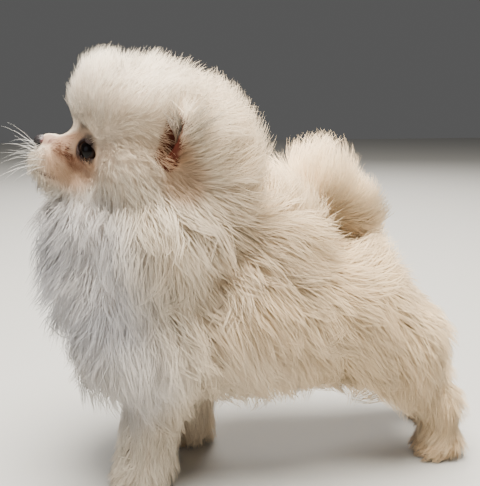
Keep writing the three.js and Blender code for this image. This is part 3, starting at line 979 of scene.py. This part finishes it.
def gathered(path, root, long, gather, leads):
    """The strands pulled towards the path of their nearest leader, and which leader that is."""
    leaders = np.flatnonzero(leads)
    tree = kdtree.KDTree(len(leaders))
    for i, leader in enumerate(leaders):
        tree.insert(root[leader], i)
    tree.balance()
    chosen = leaders[[tree.find(point)[1] for point in root]]
    pull = gather[:, None] * SHARES[None] ** 1.3
    offset = (root - root[chosen])[:, None] * (1 - GATHER_SPREAD * SHARES)[None, :, None]
    scaled = path[chosen] - root[chosen][:, None]
    scaled = root[chosen][:, None] + scaled * (long / long[chosen])[:, None, None]
    return path + pull[..., None] * (scaled + offset - path), chosen


def build_coat(skin):
    """All strands of the coat, shaped together and then split into joined pieces by length and place."""
    root, uv = skin_samples(skin, STRANDS)
    keep = ~bald(root)
    root, uv = root[keep], uv[keep]
    normal = unit(slopes(skin_field, root))
    lie, long, lift, gather = style_at(root)
    count = len(root)
    leads = rng.random(count) < np.minimum(LEADER_RATE / long, MOST_LEADERS)
    # Upright hair varies less, as it would curl into lumps.
    calm = 1 - 0.5 * smooth_step(0.85, 1.15, lift)
    stray = (np.where(leads, STRAY + GATHER_STRAY * gather, STRAY) * calm)[:, None]
    lie = unit(lie) + rng.normal(0, 1, (count, 3)) * stray
    lie = unit(lie - (lie * normal).sum(1, keepdims=True) * normal)
    long = long * rng.uniform(*LENGTH_RANGE, count)
    lift = lift * rng.uniform(*LIFT_RANGE, count)
    wave = rng.normal(0, 1, (count, 3)) * ((WAVE + GATHER_STRAY * gather) * calm)[:, None]
    path = strand_paths(root, normal, lie, long, lift, wave)
    path, chosen = gathered(path, root, long, gather, leads)
    path[..., 2] = np.maximum(path[..., 2], HAIR_ABOVE_FLOOR)
    wide = np.clip(0.11 + 0.015 * long, *STRAND_WIDE) * rng.uniform(*WIDTH_RANGE, count)
    # A strand's tone is partly its own and partly its leader's.
    tone = rng.random(count) * OWN_TONE + rng.random(count)[chosen] * LEADER_TONE
    darkest = np.where(long < SHORT_HAIR + 2, DARKEST_SHORT, DARKEST_LONG)
    tone = darkest + (1 - darkest) * tone
    # Short hair needs fewer rings than long. A few strands are left out where there would be too many.
    kind = np.digitize(long, (SHORT_HAIR, LONG_HAIR))
    cost = np.array([6 * len(rings) - 8 for rings in RINGS])
    kind[rng.random(count) > COAT_TRIANGLES / cost[kind].sum()] = -1
    order = np.lexsort((root[:, 1] > 0, np.digitize(root[:, 0], PIECE_BOUNDS)))
    material = coat_material()
    pieces = []
    for sort, rings in enumerate(RINGS):
        group = order[kind[order] == sort]
        triangles = len(group) * cost[sort]
        for part in np.array_split(group, math.ceil(triangles / PIECE_TRIANGLES)):
            hair = {
                "path": path[part][:, rings],
                "shares": SHARES[list(rings)],
                "wide": wide[part],
                "normal": normal[part],
                "uv": uv[part],
                "tone": tone[part],
                "own": OWN_SHADE[sort],
            }
            pieces.append(coat_piece(f"coat_{len(pieces) + 1}", hair, material))
    return pieces


def coat_piece(name, hair, material):
    """One joined mesh of strands, softly shaded: each strand's normals lean to the skin's own."""
    path, shares = hair["path"], hair["shares"]
    thickness = np.interp(shares[:-1], THICKNESS_AT, THICKNESS)
    points, faces = strand_mesh(path, hair["wide"], thickness)
    piece = mesh_object(name, points, faces)
    mesh = piece.data
    each = 3 * len(shares) - 2
    share = np.append(np.repeat(shares[:-1], 3), 1.0)
    tip = mesh.attributes.new("tip", "FLOAT", "POINT")
    tip.data.foreach_set("value", np.tile(share, len(path)).astype(np.float32))
    shade = mesh.attributes.new("tone", "FLOAT", "POINT")
    shade.data.foreach_set("value", np.repeat(hair["tone"], each).astype(np.float32))
    own = np.empty(len(points) * 3)
    mesh.vertex_normals.foreach_get("vector", own)
    outward = np.repeat(hair["normal"], each, axis=0)
    mesh.normals_split_custom_set_from_vertices(unit(own.reshape(-1, 3) * hair["own"] + outward))
    corner = np.append(np.tile([0.0, 1.0, 2.0], len(shares) - 1), 1.0)
    patch = np.stack([corner / 2 - 0.5, share - 0.5], -1) * UV_PATCH
    place = np.clip(hair["uv"], 0.002, 0.998)[:, None] + patch[None]
    loop_vertex = np.empty(len(mesh.loops), np.int32)
    mesh.loops.foreach_get("vertex_index", loop_vertex)
    layer = mesh.uv_layers.new(name="OFBake")
    layer.data.foreach_set("uv", place.reshape(-1, 2)[loop_vertex].astype(np.float32).ravel())
    mesh.materials.append(material)
    return piece


WHISKERS = 12
WHISKER_ROWS = 4
WHISKER_WIDE = 0.17
WHISKER_SHORTEST = 15.0
WHISKER_MORE = 11.0


def build_whiskers():
    """Arched whiskers in rows on each side of the muzzle."""
    paths = []
    for sign in (-1, 1):
        for i in range(WHISKERS):
            row, along = i % WHISKER_ROWS, i // WHISKER_ROWS
            start = np.array([-123 + along * 1.8, sign * (6.5 + along * 0.9), 160.5 + row * 2.2])
            up = 0.15 + 0.3 * row + 0.12 * rng.normal()
            out = unit(np.array([-0.9 + 0.05 * along, sign * (0.4 + 0.06 * along), up]))
            long = WHISKER_SHORTEST + WHISKER_MORE * rng.random()
            bend = np.array([-0.05, sign * 0.1, -0.42 + 0.12 * rng.normal()])
            paths.append([start + out * long * t + bend * long * t * t for t in SHARES])
    path = head_turned(np.array(paths))
    wide = np.full(len(path), WHISKER_WIDE)
    points, faces = strand_mesh(path, wide, (1.0, 0.9, 0.7, 0.4), 1.0)
    whiskers = mesh_object("whiskers", points, faces)
    whiskers.data.materials.append(plain_material("whisker", WHISKER, 0.35).material)
    return whiskers


# Building the visual model
skin_piece = build_skin()
pieces = [skin_piece, build_nose(), build_claws(), build_whiskers()]
pieces += [build_eye(SIGN[side_name], f"{side_name}_eye_ball") for side_name in SIGN]
pieces += build_coat(skin_piece)
for piece in pieces:
    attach(piece, "root")


# Floor, light and camera
FLOOR_REACH = 3.0


def build_floor():
    mesh = bpy.data.meshes.new("floor")
    corners = [(x * FLOOR_REACH, y * FLOOR_REACH, 0) for x, y in ((-1, -1), (1, -1), (1, 1), (-1, 1))]
    mesh.from_pydata(corners, [], [(0, 1, 2, 3)])
    floor = link("floor", mesh)
    mesh.materials.append(plain_material("floor", FLOOR, 0.8).material)


# Lights: their names, places and sizes in metres, power and colour
LIGHTS = [
    ("top", (0.0, -0.12, 1.25), 1.0, 76, (1, 0.95, 0.85)),
    ("front", (-1.2, -0.8, 0.6), 1.0, 3.5, (0.80, 0.88, 1)),
    ("fill", (0.9, -1.3, 0.5), 1.2, 1.5, (1, 0.95, 0.87)),
    ("back", (0.3, 1.2, 1.0), 0.8, 22, (1, 0.96, 0.9)),
]
LIGHT_TARGET = (0, 0, 0.1)
WORLD_GREY = 0.78
WORLD_STRENGTH = 0.13


def area_light(name, place, size, power, colour):
    lamp = bpy.data.lights.new(name, "AREA")
    lamp.shape = "DISK"
    lamp.size = size
    lamp.energy = power
    lamp.color = colour
    light = link(name, lamp)
    light.location = place
    light.rotation_euler = (Vector(LIGHT_TARGET) - Vector(place)).to_track_quat("-Z", "Y").to_euler()


def build_world():
    world = bpy.data.worlds.new("studio")
    world.use_nodes = True
    background = world.node_tree.nodes["Background"]
    background.inputs["Color"].default_value = (WORLD_GREY, WORLD_GREY, WORLD_GREY, 1)
    background.inputs["Strength"].default_value = WORLD_STRENGTH
    bpy.context.scene.world = world


# The camera stands where the photo was taken from. Its focal length is known in the photo's pixels.
CAMERA = np.array([-95.1, -351.8, 190.0])
CAMERA_YAW = math.radians(11.2)
CAMERA_PITCH = math.radians(11.45)
FOCAL_PIXELS = 706
FRAME_PIXELS = 486
SENSOR = 36


def build_camera():
    data = bpy.data.cameras.new("camera")
    data.sensor_width = SENSOR
    data.lens = SENSOR * FOCAL_PIXELS / FRAME_PIXELS
    camera = link("camera", data)
    camera.location = to_frame(CAMERA)
    camera.rotation_euler = (math.pi / 2 - CAMERA_PITCH, 0, -CAMERA_YAW)
    bpy.context.scene.camera = camera


build_floor()
for light in LIGHTS:
    area_light(*light)
build_world()
build_camera()
